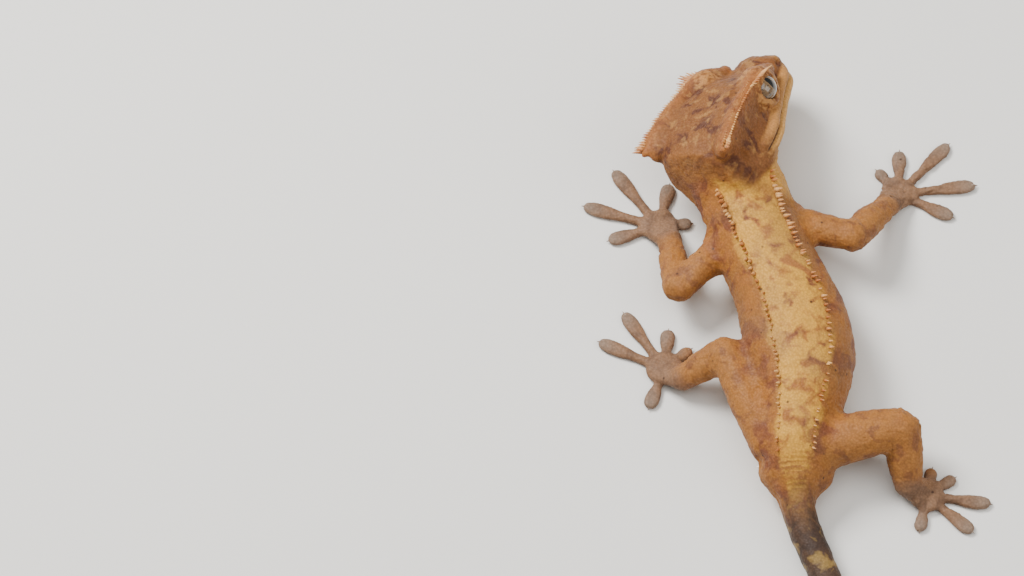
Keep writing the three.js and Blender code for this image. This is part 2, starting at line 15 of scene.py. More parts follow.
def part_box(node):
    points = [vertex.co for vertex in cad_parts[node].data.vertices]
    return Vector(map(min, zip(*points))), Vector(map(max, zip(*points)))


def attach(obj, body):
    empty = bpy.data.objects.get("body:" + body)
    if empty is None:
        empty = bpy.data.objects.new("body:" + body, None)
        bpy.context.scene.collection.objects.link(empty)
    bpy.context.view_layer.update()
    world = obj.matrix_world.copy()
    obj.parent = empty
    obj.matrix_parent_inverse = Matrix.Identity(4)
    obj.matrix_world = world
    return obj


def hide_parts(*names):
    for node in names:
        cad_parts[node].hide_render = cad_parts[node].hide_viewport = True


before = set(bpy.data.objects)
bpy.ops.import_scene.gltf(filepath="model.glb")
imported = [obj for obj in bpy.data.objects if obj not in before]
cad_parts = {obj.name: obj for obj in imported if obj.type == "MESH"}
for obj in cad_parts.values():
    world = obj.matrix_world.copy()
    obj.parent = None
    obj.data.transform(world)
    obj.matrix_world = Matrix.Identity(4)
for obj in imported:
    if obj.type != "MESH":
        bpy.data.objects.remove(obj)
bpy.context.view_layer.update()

# Sizes in millimetres and angles in degrees.

CELL = 0.35  # spacing of the grid that the skin is drawn on
FAR = 4.6  # beyond this distance from a form the field no longer matters
KEPT_FACES = 0.6  # share of the skin's faces that stay; its smooth parts lose the most

HEAD_PLACE = np.array([-15.4, 24.7, 15.4])
HEAD_TURN, HEAD_LIFT, HEAD_ROLL = 26, -10, 37
HEAD_SCALE = 1.07  # of the sizes below that are in the head's own frame
HEAD_LENGTH = 28.5
HEAD_HALF = 12.0
MOUTH_CORNER = 3.2
LIP_RADIUS = 1.05

EYE_RADIUS = 3.7
EYE_PLACE = np.array([7.0, 15.6, 6.0])
EYE_LOOK = np.array([1.0, 0.2, 0.22])  # way that the right eye looks, in the head's own frame
VEIN_SCALE, NOTCH_SCALE = 7.0, 9.0  # noise of the iris and of the slit's edge, for an eye of radius 1

TOE_ROOT, TOE_WIDTH, PAD_WIDTH, TOE_DEPTH = 2.3, 2.25, 3.3, 1.9
SHORT_TOE = 9
TOE_LEVEL = 0.72
PALM_LEVEL = 1.25

# Neck, trunk and tail: middle of each section, half width, height above, depth below, narrowing at the top.
AXIS = [
    (-12.9, 26.2, 14.6, 8.6, 6.8, 6.4, 0.10),
    (-9.9, 20.8, 13.6, 9.8, 7.2, 7.1, 0.12),
    (-7.9, 15.4, 12.9, 9.9, 7.5, 7.5, 0.14),
    (-6.0, 10.0, 12.3, 10.1, 7.9, 8.0, 0.16),
    (-3.6, 3.6, 12.0, 10.2, 8.3, 8.4, 0.16),
    (-0.7, -3.4, 12.0, 10.7, 8.7, 8.8, 0.16),
    (1.6, -10.8, 12.0, 11.7, 8.9, 9.0, 0.16),
    (2.8, -18.2, 12.0, 11.9, 8.9, 9.0, 0.16),
    (3.0, -25.5, 11.8, 10.7, 8.6, 8.7, 0.16),
    (2.5, -32.6, 11.3, 8.9, 8.0, 7.9, 0.14),
    (1.7, -39.4, 10.6, 7.7, 7.2, 7.2, 0.10),
    (1.6, -44.8, 8.8, 6.2, 5.9, 6.3, 0.0),
    (1.8, -50.4, 6.6, 3.9, 4.1, 4.4, 0.0),
    (3.4, -57.4, 4.9, 3.5, 3.6, 4.3, 0.0),
    (7.4, -67.6, 4.1, 3.3, 3.3, 3.9, 0.0),
    (11.4, -79.0, 3.7, 3.05, 3.0, 3.6, 0.0),
    (12.6, -91.6, 3.3, 2.8, 2.75, 3.3, 0.0),
    (10.0, -104.0, 2.9, 2.4, 2.35, 2.9, 0.0),
    (4.6, -114.8, 2.4, 2.0, 1.9, 2.5, 0.0),
    (-2.2, -123.6, 2.0, 1.7, 1.5, 2.1, 0.0),
    (-9.8, -128.6, 1.4, 1.95, 0.85, 1.5, 0.0),
]
NECK_STATION, HIP_STATION = 1, 9.4  # counted in rows of AXIS
VENT = np.array([1.9, -45.2, 6.7])

# Head from back to snout: forward, share of the half width, height, depth, narrowing at the top.
HEAD = [
    (-5, 0.66, 8.4, 6.3, 0.06),
    (0, 0.88, 10.2, 6.8, 0.08),
    (5, 0.97, 10.9, 6.6, 0.18),
    (10, 0.88, 10.8, 6.0, 0.20),
    (15, 0.73, 9.3, 5.2, 0.20),
    (20, 0.56, 6.6, 4.4, 0.20),
    (25, 0.45, 6.0, 3.6, 0.24),
    (HEAD_LENGTH - 1.9, 0.36, 5.0, 2.7, 0.24),
]
# Edge of the jaw, from the corner of the mouth to the snout: share of the half width, forward.
JAW = [
    (0.955, MOUTH_CORNER + 1), (0.93, 9), (0.76, 14.5),
    (0.585, 20), (0.46, 25), (0.27, HEAD_LENGTH - 1.1),
]
# Line of the right crest, from before the eye to its corner behind the temple: right, forward, up.
CREST = [
    (5.2, 21.0, 5.9), (7.6, 16.2, 8.9), (8.3, 11, 9.8),
    (9.0, 5, 10.0), (9.7, 0, 9.6), (10.3, -4.4, 8.8),
]
CREST_SIZES = [0.7, 1.15, 1.2, 1.4, 1.5, 0.8]  # half width at each of those places
LIP_SIZES = [1.5, 1.42, 1.3, 1.2, 1.1, 1.05]  # lower lip, from the corner of the mouth to the snout

# Swellings on the head's right side, mirrored on its left: place, radii, fillet where it meets the rest.
JOWL = (10.1, MOUTH_CORNER + 0.8, -1.9), (1.7, 4.2, 2.0), 3.0
ORBIT = tuple(EYE_PLACE - (0.7, 0, 0.1)), (3.9, 5.2, 4.6), 1.4
CREST_SHELF = (7.9, 5.6, 7.9), (1.8, 9.0, 2.1), 2.6
CREST_CORNER = (8.6, -0.6, 7.3), (1.7, 4.4, 2.2), 2.6
NOSE = (2.9, 25.6, 3.2), (1.8, 2.5, 1.4), 2.0
BROW = (5.9, 20.4, 6.0), (1.3, 2.8, 1.1), 2.0
EYE_RIM = 0.85  # half thickness of the scaly ring round the eye

# Hollows in the head, in the same form.
NOSTRIL = (4.6, HEAD_LENGTH - 2.5, 3.7), (0.75, 0.72, 0.55), 0.3
EAR = (10.7, -0.6, 3.2), (1.15, 0.7, 1.7), 0.6
CROWN_DIP = (0, 4.5, 15.2), (6.2, 12, 5.3), 2.5

# Limbs: root, elbow or knee, wrist or ankle, palm, half widths on the way and of the palm, toe tips.
LIMBS = {
    "fore_left": (
        (-12.6, 8.4, 10.6), (-23.4, -2.2, 9.6), (-24.9, 12.4, 3.8), (-27.3, 17.4, PALM_LEVEL),
        (3.9, 3.4, 3.2, 3.3, 2.5), 4.3,
        ((-20.6, 18.3), (-25.0, 27.4), (-36.8, 30.8), (-43.2, 22.4), (-37.8, 14.2)),
    ),
    "fore_right": (
        (0.6, 13.6, 10.6), (14.6, 9.6, 11.4), (22.4, 21.2, 3.8), (25.0, 25.4, PALM_LEVEL),
        (4.0, 3.6, 3.4, 3.4, 2.5), 4.3,
        ((20.6, 31.0), (25.4, 35.6), (35.9, 37.4), (41.4, 27.6), (36.4, 20.0)),
    ),
    "hind_left": (
        (-3.4, -39.0, 9.6), (-13.0, -18.4, 11.0), (-22.6, -21.2, 4.0), (-26.3, -17.3, PALM_LEVEL),
        (5.1, 4.7, 3.9, 3.6, 2.7), 4.2,
        ((-20.8, -12.6), (-25.4, -8.2), (-34.8, -4.0), (-40.0, -10.8), (-29.6, -26.2)),
    ),
    "hind_right": (
        (6.0, -40.2, 9.6), (24.3, -36.6, 12.0), (25.9, -46.9, 4.0), (29.8, -47.8, PALM_LEVEL),
        (5.6, 5.4, 4.3, 4.0, 3.0), 4.2,
        ((31.2, -41.6), (35.8, -43.6), (43.2, -49.6), (39.4, -56.0), (28.4, -55.8)),
    ),
}

# Marks on the belly: across, along and radius.
BELLY_MARKS = [
    (3.3, -22.5, 1.5), (7.4, -10.8, 0.8), (10.7, -19.9, 1.0), (-1.3, -18.6, 1.0), (-2.2, -29.4, 0.9),
    (9.8, -30.3, 0.8), (0.9, -32.0, 1.1), (-3.9, -33.5, 0.9), (4.3, 2.6, 1.1), (-7.8, 1.4, 0.7),
    (-7.4, -2.5, 0.6), (7.4, -1.8, 0.7), (3.3, 14.1, 0.6), (1.7, 9.9, 0.4), (-0.7, -8.9, 0.4),
    (4.3, -12.5, 0.4), (-1.7, -14.5, 0.4), (10.0, -27.4, 0.4), (4.8, -38.4, 0.4), (3.3, -38.9, 0.4),
]

CAMERA_TILT = 27  # from straight above, towards the tail
CAMERA_LENS = 400.0
PHOTO_SCALE = 4.6  # picture points for a millimetre
PICTURE_WIDTH = 1024
AIM = (-59.3, 2.9, 0.0)  # middle of the picture, on the floor
FLOOR_HALF = 2.0  # metres from its middle to its edge
FLOOR_SCALE = 9.0  # noise of the floor, for a metre


# Places.


def unit(v):
    v = np.asarray(v, float)
    return v / np.linalg.norm(v, axis=-1, keepdims=True)


def turn(axis, degrees):
    return np.array(Matrix.Rotation(math.radians(degrees), 3, axis))


# The head's right, forward and up, as columns.
HEAD_AXES = turn("Z", -HEAD_TURN) @ turn("X", HEAD_LIFT) @ turn("Y", -HEAD_ROLL)


def from_head(points):
    """Head's own frame to the body's frame."""
    return HEAD_PLACE + HEAD_SCALE * np.asarray(points, float) @ HEAD_AXES.T


def to_head(points):
    return (points - HEAD_PLACE) @ HEAD_AXES / HEAD_SCALE


def mirrored(points, side):
    return [(side * p[0], *p[1:]) for p in points]


def eye_centre(side):
    return from_head(EYE_PLACE * (side, 1, 1))


def eye_axis(side):
    return unit(EYE_LOOK * (side, 1, 1)) @ HEAD_AXES.T


eye_low, eye_high = (np.array(corner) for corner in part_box("eye_left"))
SHIFT = 1000 * (eye_low + eye_high) / 2 - eye_centre(-1)  # from the body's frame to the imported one


def to_metres(points):
    return (np.asarray(points) + SHIFT) / 1000


# Forms, as fields of signed distance on a grid.


def through(rows, per_span):
    """Rows of numbers along a smooth curve through the given rows."""
    rows = np.asarray(rows, float)
    padded = np.vstack([2 * rows[0] - rows[1], rows, 2 * rows[-1] - rows[-2]])
    share = np.arange((len(rows) - 1) * per_span + 1) / per_span
    first = np.minimum(share.astype(int), len(rows) - 2)
    u = (share - first)[:, None]
    a, b, c, d = (padded[first + k] for k in range(4))
    return 0.5 * (2 * b + (c - a) * u + (2 * a - 5 * b + 4 * c - d) * u**2 + (3 * b - a - 3 * c + d) * u**3)


def sections(places, wide, up, down=None, taper=0.0, tuck=0.0, square=2.0, crown=None):
    """Rows of a loft.

    Each has its place, half width, height, depth, narrowing above and below, squareness below and above.
    """
    down = up if down is None else down
    crown = square if crown is None else crown
    sizes = (wide, up, down, taper, tuck, square, crown)
    return np.column_stack([np.asarray(places, float), *(np.broadcast_to(v, len(places)) for v in sizes)])


LOW = np.array([-47.0, -134.0, -1.5])
HIGH = np.array([48.0, 56.0, 34.0])
LINES = [np.arange(LOW[i], HIGH[i], CELL) for i in range(3)]


def window(low, high):
    """The part of the grid between two corners."""
    edges = [np.searchsorted(LINES[i], (low[i], high[i])) for i in range(3)]
    return tuple(slice(*edge) for edge in edges)


def points_in(where):
    lines = [LINES[i][where[i]] for i in range(3)]
    return np.stack(np.meshgrid(*lines, indexing="ij"), axis=-1).reshape(-1, 3)


def section_distance(offset, forward, row, cap):
    """Distance of points from a section's edge, where offset is from its middle."""
    right = unit(np.cross(forward, (0, 0, 1)))
    above = np.cross(right, forward)
    x, y, z = offset @ right, offset @ forward, offset @ above
    wide, up, down, taper, tuck, square, crown = row
    top = z > 0
    rise = np.where(top, z / up, -z / down)
    narrow = 1 - np.where(top, taper, tuck) * np.clip(rise, 0, 1)
    power = np.where(top, crown, square)
    across = np.abs(x) / (wide * narrow)
    share = (across**power + np.maximum(rise, 1e-6) ** power) ** (1 / power)
    share = np.sqrt(share**2 + (y / cap) ** 2)
    return np.linalg.norm(offset, axis=1) * (1 - 1 / np.maximum(share, 1e-3))


def loft(rows, caps, per_span=4, in_head=False, slack=0.45):
    """Window and field of a loft. Slack, in millimetres, fills the outer side of its bends."""
    rows = through(rows, per_span)
    last = len(rows) - 2
    middles = from_head(rows[:, :3]) if in_head else rows[:, :3]
    if in_head:
        rows[:, :6] *= HEAD_SCALE
    reach = rows[:, 3:6].max() + FAR + max(caps)
    whole = window(middles.min(0) - reach, middles.max(0) + reach)
    field = np.full([s.stop - s.start for s in whole], FAR)
    for i in range(last + 1):
        a, b = rows[i], rows[i + 1]
        span = reach if i in (0, last) else max(a[3:6].max(), b[3:6].max()) + FAR
        ends = middles[i : i + 2]
        where = window(ends.min(0) - span, ends.max(0) + span)
        points = points_in(where)
        if in_head:
            points = HEAD_SCALE * to_head(points)
        axis = b[:3] - a[:3]
        length = np.linalg.norm(axis)
        forward = axis / length
        along = (points - a[:3]) @ forward
        before = caps[0] + FAR if i == 0 else slack
        after = caps[1] + FAR if i == last else slack
        near = np.nonzero((along > -before) & (along < length + after))[0]
        share = np.clip(along[near] / length, 0, 1)[:, None]
        offset = points[near] - (a[:3] + share * axis)
        row = (a[3:] + share * (b[3:] - a[3:])).T
        start, end = (caps[0] if i == 0 else row[0]), (caps[1] if i == last else row[0])
        cap = np.where(share[:, 0] <= 0, start, end)
        inner = tuple(slice(w.start - s.start, w.stop - s.start) for w, s in zip(where, whole))
        part = field[inner].reshape(-1)
        part[near] = np.minimum(part[near], section_distance(offset, forward, row, cap))
        field[inner] = part.reshape(field[inner].shape)
    return whole, np.minimum(field, FAR)


def ball(centre, radii, in_head=False):
    """Field of an ellipsoid."""
    middle = from_head(centre) if in_head else np.asarray(centre, float)
    if in_head:
        radii = HEAD_SCALE * np.array(radii)
    reach = max(radii) + FAR
    where = window(middle - reach, middle + reach)
    points = points_in(where)
    offset = (points - middle) @ (HEAD_AXES if in_head else np.eye(3))
    share = np.linalg.norm(offset / radii, axis=1)
    field = np.linalg.norm(offset, axis=1) * (1 - 1 / np.maximum(share, 1e-3))
    return where, np.minimum(field, FAR).reshape([s.stop - s.start for s in where])


def ring(centre, axis, radius, thickness):
    """Field of a ring."""
    reach = radius + thickness + FAR
    where = window(centre - reach, centre + reach)
    offset = points_in(where) - centre
    along = offset @ axis
    out = np.sqrt(np.maximum((offset**2).sum(1) - along**2, 0))
    field = np.hypot(out - radius, along) - thickness
    return where, np.minimum(field, FAR).reshape([s.stop - s.start for s in where])


def join(total, form, blend):
    """Adds a form, with a fillet of the given size where it meets the rest."""
    where, field = form
    other = total[where]
    fillet = np.maximum(blend - np.abs(other - field), 0) / blend
    total[where] = np.minimum(other, field) - fillet**2 * blend / 4


def carve(total, form, blend):
    """Takes a form away, with a rounded edge of the given size."""
    where, field = form
    other = total[where]
    fillet = np.maximum(blend - np.abs(other + field), 0) / blend
    total[where] = np.maximum(other, -field) + fillet**2 * blend / 4


# The gecko's forms.


def head_form():
    rows = np.array(HEAD)
    places = np.column_stack([np.zeros(len(rows)), rows[:, 0], np.zeros(len(rows))])
    return loft(
        sections(places, rows[:, 1] * HEAD_HALF, rows[:, 2], rows[:, 3], rows[:, 4], 0.34, 2.5, 3.4),
        (1.6, 2.1), in_head=True, slack=0.01,
    )


def jaw_line(level, inset=0.0):
    """From the right corner of the mouth round the snout to the left."""
    right = [(share * HEAD_HALF - inset, forward, level) for share, forward in JAW]
    return [*right, (0, HEAD_LENGTH + 0.2 - inset, level), *mirrored(right, -1)[::-1]]


def lip_form(level, sizes, inset=0.0):
    places = jaw_line(level, inset)
    wide = np.array([*sizes, sizes[-1], *sizes[::-1]])
    return loft(sections(places, wide, LIP_RADIUS), (wide[0], wide[0]), in_head=True, slack=1.0)


def crest_form(side):
    sizes = np.array(CREST_SIZES)
    return loft(sections(mirrored(CREST, side), sizes, sizes * 0.8), (0.8, 0.9), in_head=True, slack=1.0)


def limb_forms(root, bend, end, palm, girths, breadth, tips):
    """Upper and lower limb, palm and toes, each with the size of the fillet where it joins the rest."""
    root, bend, end, palm = (np.array(p, float) for p in (root, bend, end, palm))
    lift = np.array([0, 0, 0.3])
    upper = [root, (root + bend) / 2 + lift, bend]
    lower = [bend, (bend + end) / 2 + lift, end]
    girths = np.array(girths)
    yield loft(sections(upper, girths[:3], girths[:3] * 0.88), (girths[0] * 0.6, girths[2] * 0.62), 6), 2.4
    yield loft(sections(lower, girths[2:], girths[2:] * 0.84), (girths[2] * 0.62, girths[4] * 0.6), 6), 1.6
    ahead = unit((palm - end) * (1, 1, 0))
    palms = [end, palm, palm + ahead * breadth * 0.35]
    widths = np.array([0.56, 0.92, 0.88]) * breadth
    yield loft(sections(palms, widths, [2.0, 1.55, 1.3], square=2.2), (1.2, breadth * 0.5), 5), 1.5
    middle = np.array([palm[0], palm[1], TOE_LEVEL + 0.1])
    for tip in tips:
        reach = np.array([*tip, TOE_LEVEL]) - middle
        length = np.linalg.norm(reach)
        short = 0.85 if length < SHORT_TOE else 1
        shares = (TOE_ROOT / length, 0.45, 0.68, 0.86, 0.95)
        places = [middle + reach * share for share in shares]
        wide = np.array([TOE_WIDTH * 0.5, TOE_WIDTH * 0.44 * short, PAD_WIDTH * 0.46 * short,
                         PAD_WIDTH * 0.5 * short, PAD_WIDTH * 0.4 * short])
        deep = np.array([1, 1, 0.86, 0.78, 0.72]) * TOE_DEPTH / 2
        yield loft(sections(places, wide, deep, square=2.25), (0.6, length * 0.05 + 0.5), 3), 0.9


def on_head(feature, side=1):
    """Form and fillet of one of the head's swellings or hollows, on its right side or its left."""
    place, radii, blend = feature
    return ball(np.array(place) * (side, 1, 1), radii, in_head=True), blend


def add_face(total):
    """Joins what the head carries: crest, lips, nose and eye rims, and its hollows."""
    for side in (1, -1):
        for swelling in (JOWL, ORBIT, CREST_SHELF, CREST_CORNER):
            join(total, *on_head(swelling, side))
        join(total, crest_form(side), 2.0)
    join(total, lip_form(LIP_RADIUS * 0.95, [LIP_RADIUS] * 6, 0.15), 0.6)
    join(total, lip_form(-LIP_RADIUS * 1.05, LIP_SIZES, 0.35), 0.3)
    join(total, lip_form(0, [0.9] * 6, 0.72), 0.1)
    for side in (1, -1):
        join(total, *on_head(NOSE, side))
        join(total, *on_head(BROW, side))
        rim = eye_centre(side) + eye_axis(side) * EYE_RADIUS * 0.42
        join(total, ring(rim, eye_axis(side), EYE_RADIUS * 0.98, EYE_RIM), 0.5)
        carve(total, ball(eye_centre(side), (EYE_RADIUS + 0.04,) * 3), 0.25)
        carve(total, *on_head(NOSTRIL, side))
        carve(total, *on_head(EAR, side))
    carve(total, *on_head(CROWN_DIP))


def body_field():
    """Distance from the whole gecko's surface at every point of the grid, below zero inside."""
    axis = np.array(AXIS)
    total = np.full([len(line) for line in LINES], FAR)
    spine = sections(axis[:, :3], axis[:, 3], axis[:, 4], axis[:, 5], axis[:, 6], 0.0, 2.2)
    join(total, loft(spine, (2, 1.9), 5), 0.01)
    join(total, head_form(), 4.5)
    join(total, ball(VENT, (8.1, 5.6, 5.4)), 2.4)
    for limb in LIMBS.values():
        for form, blend in limb_forms(*limb):
            join(total, form, blend)
    add_face(total)
    above_floor = 0.01 - np.broadcast_to(LINES[2], total.shape)
    return np.maximum(total, above_floor)


def surface_of(field):
    """Vertices and outward quads where a field passes through zero, a vertex in each cell it crosses."""
    inside = field < 0
    cells = tuple(n - 1 for n in field.shape)
    corners = list(itertools.product((0, 1), repeat=3))
    count = np.zeros(cells, np.int8)
    for x, y, z in corners:
        count += inside[x : x + cells[0], y : y + cells[1], z : z + cells[2]]
    at = np.argwhere((count > 0) & (count < 8))
    number = np.full(cells, -1)
    number[tuple(at.T)] = np.arange(len(at))

    total, hits = np.zeros((len(at), 3)), np.zeros((len(at), 1))
    for a, b in itertools.combinations(np.array(corners), 2):
        if np.abs(b - a).sum() != 1:
            continue
        start, end = (field[tuple((at + corner).T)] for corner in (a, b))
        crossed = (start < 0) != (end < 0)
        share = start[crossed] / (start[crossed] - end[crossed])
        total[crossed] += a + share[:, None] * (b - a)
        hits[crossed] += 1
    vertices = LOW + CELL * (at + total / hits)

    quads = []
    for i in range(3):
        steps = np.eye(3, dtype=int)
        along, u, v = steps[i], steps[(i + 1) % 3], steps[(i + 2) % 3]
        low = tuple(slice(0, -1) if k == i else slice(1, -1) for k in range(3))
        high = tuple(slice(1, None) if k == i else slice(1, -1) for k in range(3))
        edge = np.argwhere(inside[low] != inside[high]) + (1 - along)
        quad = np.stack([number[tuple((edge - w).T)] for w in (0 * u, u, u + v, v)], axis=1)
        outward = inside[tuple(edge.T)]
        quads.append(np.where(outward[:, None], quad, quad[:, ::-1]))
    return vertices, np.concatenate(quads)


# Places on the skin.


def step_up(value, low, high):
    """0 below low, 1 above high, smooth between."""
    share = np.clip((value - low) / (high - low), 0, 1)
    return share * share * (3 - 2 * share)


def bell(value, width):
    return np.exp(-((value / width) ** 2))


def along_spine(points):
    """Station number, and offset to the right and up in shares of the section, for each point."""
    per_station, batch = 6, 20000
    rows = through([row[:6] for row in AXIS], per_station)
    forward = unit(np.gradient(rows[:, :3], axis=0))
    right = unit(np.cross(forward, (0, 0, 1)))
    nearest = np.empty(len(points), int)
    for start in range(0, len(points), batch):
        part = points[start : start + batch, None, :2] - rows[None, :, :2]
        nearest[start : start + batch] = (part**2).sum(2).argmin(1)
    row = rows[nearest]
    offset = points - row[:, :3]
    x = (offset * right[nearest]).sum(1) / row[:, 3]
    z = offset[:, 2] / np.where(offset[:, 2] > 0, row[:, 4], row[:, 5])
    return nearest / per_station, x, z


def distance_to_line(points, line):
    """Distance in millimetres from points to a line of points."""
    line = np.asarray(line, float)
    best = np.full(len(points), 1e3)
    for a, b in zip(line[:-1], line[1:]):
        axis = b - a
        share = np.clip((points - a) @ axis / (axis @ axis), 0, 1)[:, None]
        best = np.minimum(best, np.linalg.norm(points - a - share * axis, axis=1))
    return best


def lumps(points, size):
    """Smooth noise with features of a size in millimetres."""
    return np.array([noise.noise(p) for p in points / size])


def grains(points, size):
    """Raised round grains of a size in millimetres: 1 on top of a grain, 0 between."""
    return 1 - np.array([min(noise.voronoi(p)[0][0] * 1.6, 1) for p in points / size])


def skin_masks(points):
    """How far each zone holds at each vertex, from 0 to 1, and its height over the mouth's line."""
    station, x, z = along_spine(points)
    out = np.hypot(x, z)
    local = to_head(points)
    masks = {}
    head_near = np.maximum(np.abs(local[:, 0]) - 13, np.abs(local[:, 2] - 2) - 12)
    masks["head"] = step_up(local[:, 1] + 0.25 * local[:, 2], -6.5, -1.5) * step_up(-head_near, -2.5, 0.5)
    trunk = (1 - step_up(out, 1.12, 1.45)) * (1 - masks["head"])
    masks["trunk"] = trunk
    masks["tail"] = step_up(station, 11.6, 13.4) * (1 - masks["head"])
    top = step_up(z, 0.05, 0.5)
    edge = np.abs(x) + 0.16 * lumps(points, 5.0)
    masks["band"] = top * (1 - step_up(edge, 0.5, 0.66)) * trunk * (1 - masks["tail"])
    masks["belly"] = step_up(-z, 0.25, 0.62) * trunk * (1 - masks["tail"])
    throat = step_up(-local[:, 2], 1.8, 3.6) * masks["head"]
    masks["belly"] = np.maximum(masks["belly"], throat)
    feet = np.full(len(points), 0.0)
    pads = np.full(len(points), 0.0)
    for _, bend, end, palm, _, _, tips in LIMBS.values():
        from_palm = np.linalg.norm(points - palm, axis=1)
        from_wrist = (points - end) @ unit(np.array(end) - bend)
        feet = np.maximum(feet, (1 - step_up(from_palm, 17, 20)) * step_up(from_wrist, -3.5, 2.5))
        for tip in tips:
            pads = np.maximum(pads, bell(np.linalg.norm(points[:, :2] - tip, axis=1), 3.2))
    feet *= (1 - trunk) * (1 - masks["head"]) * (1 - step_up(points[:, 2], 7, 9))
    masks["foot"] = feet
    masks["pad"] = pads * feet
    masks["limb"] = (1 - trunk) * (1 - masks["head"]) * (1 - feet)
    on_line = [distance_to_line(local, through(mirrored(CREST, side), 4)) for side in (1, -1)]
    masks["crest"] = bell(np.minimum(*on_line), 1.5)
    lip_out = distance_to_line(local, through(jaw_line(-LIP_RADIUS * 1.05), 4))
    upper_out = distance_to_line(local, through(jaw_line(LIP_RADIUS * 0.95), 4))
    forward = step_up(local[:, 1], MOUTH_CORNER - 1, MOUTH_CORNER + 6)
    masks["lip"] = (1 - step_up(lip_out, 1.2, 2.1)) * forward
    masks["upper_lip"] = (1 - step_up(upper_out, 1.1, 2.0)) * forward
    before_corner = step_up(local[:, 1], MOUTH_CORNER - 0.5, MOUTH_CORNER + 1.5)
    masks["mouth"] = before_corner * (1 - step_up(upper_out, 2.2, 2.8))
    masks["level"] = local[:, 2] + 0.05
    eyes = [np.linalg.norm(local - EYE_PLACE * (side, 1, 1), axis=1) for side in (1, -1)]
    masks["rim"] = 1 - step_up(np.minimum(*eyes), EYE_RADIUS + 0.9, EYE_RADIUS + 1.6)
    return masks, station, x, z, local


def relief(points, masks, station, x, z, local):
    """Height of the skin's folds, wrinkles and larger scales, in millimetres."""
    height = 0.16 * lumps(points, 3.4) * (1 - masks["foot"]) * (1 - 0.6 * masks["tail"])
    trunk = masks["trunk"] * (1 - masks["tail"])

    # Creases across the neck, and behind the shoulders and before the hips, where the skin bunches.
    neck = bell(station - 2.2, 0.9) * (1 - masks["head"])
    height -= 0.34 * neck * np.maximum(np.sin(station * 10 + 5 * lumps(points, 6)), 0) ** 2
    bunch = bell(station - 3.4, 0.7) + bell(station - 8.7, 0.8)
    height -= 0.2 * trunk * bunch * np.maximum(np.sin(station * 17 + 2.4 * lumps(points, 5)), 0) ** 2

    # A loose fold of skin runs along each flank, with fine wrinkles across it.
    fold = bell(z + 0.28 + 0.08 * np.sin(station * 2.3), 0.13) * step_up(np.abs(x), 0.5, 0.8)
    height += 0.42 * trunk * fold
    across = np.maximum(np.sin(station * 34 + 3 * lumps(points, 3)), 0)
    height -= 0.1 * trunk * step_up(np.abs(x), 0.55, 0.8) * across

    # Fine furrows of loose skin on the trunk, the neck and the limbs, and wrinkles at elbows and knees.
    loose = np.maximum(trunk * step_up(np.abs(x), 0.35, 0.7), np.maximum(neck, masks["limb"]))
    height -= 0.16 * loose * bell(lumps(points * (1, 1, 0.7), 2.8), 0.09)
    height -= 0.12 * loose * bell(lumps(points + 40, 1.7), 0.1)
    for limb in LIMBS.values():
        joint = bell(np.linalg.norm(points - limb[1], axis=1), 5.5) * masks["limb"]
        way = unit(np.array(limb[2]) - limb[0])
        height -= 0.2 * joint * np.maximum(np.sin(points @ way * 3.4 + 2 * lumps(points, 3)), 0) ** 2

    # Rings on the tail.
    height += 0.07 * masks["tail"] * np.sin(station * 24)

    # Grains on the head, bigger on the crest, square scales along both lips, and the mouth's line.
    fine = grains(points, 1.0)
    coarse = grains(points, 1.6)
    height += masks["head"] * (1 - masks["lip"]) * (1 - masks["upper_lip"]) * 0.15 * fine
    height += masks["crest"] * 0.32 * coarse
    height += 0.04 * masks["rim"] * grains(points, 0.9)
    way_round = np.arctan2(local[:, 1] - 6, local[:, 0])
    lip = np.maximum(masks["lip"], masks["upper_lip"])
    height += 0.05 * lip * (np.abs(np.sin(way_round * 21)) ** 0.4 - 0.6)
    height -= 0.3 * masks["mouth"] * bell(masks["level"], 0.35)

    # Ridge from the nostril to the eye.
    ridge = bell(np.abs(local[:, 0]) - 4.3 - 0.12 * (24 - local[:, 1]), 0.8) * bell(local[:, 1] - 23, 3.4)
    height += 0.3 * ridge * masks["head"] * (local[:, 2] > 3)

    # Grains on the limbs, finer on the feet. The soles stay flat.
    height += 0.1 * masks["limb"] * grains(points, 1.5)
    height += 0.06 * masks["foot"] * grains(points, 0.9)
    return height * step_up(points[:, 2], 0.0, 0.6)


# Pieces.


def object_from(name, vertices, faces, material):
    mesh = bpy.data.meshes.new(name)
    mesh.from_pydata([tuple(v) for v in vertices], [], [tuple(map(int, f)) for f in faces])
    mesh.materials.append(material)
    made = bpy.data.objects.new(name, mesh)
    bpy.context.collection.objects.link(made)
    return made


def finished(made, smooth=True):
    """The object with its modifiers turned into a plain mesh."""
    graph = bpy.context.evaluated_depsgraph_get()
    mesh = bpy.data.meshes.new_from_object(made.evaluated_get(graph))
    made.modifiers.clear()
    made.data = mesh
    mesh.polygons.foreach_set("use_smooth", [smooth] * len(mesh.polygons))
    return made


def vertices_of(mesh):
    flat = np.empty(len(mesh.vertices) * 3)
    mesh.vertices.foreach_get("co", flat)
    return flat.reshape(-1, 3)


def thin_out(made, keep):
    """Fewer faces where the skin is smooth and plain, which is where keep is near 0."""
    group = made.vertex_groups.new(name="thin")
    levels = np.round(1 - keep, 1)
    for level in np.unique(levels):
        group.add(np.nonzero(levels == level)[0].tolist(), float(level), "REPLACE")
    fewer = made.modifiers.new("fewer faces", "DECIMATE")
    fewer.ratio = KEPT_FACES
    fewer.vertex_group = "thin"
    fewer.vertex_group_factor = 2.0
    finished(made)
    made.vertex_groups.clear()


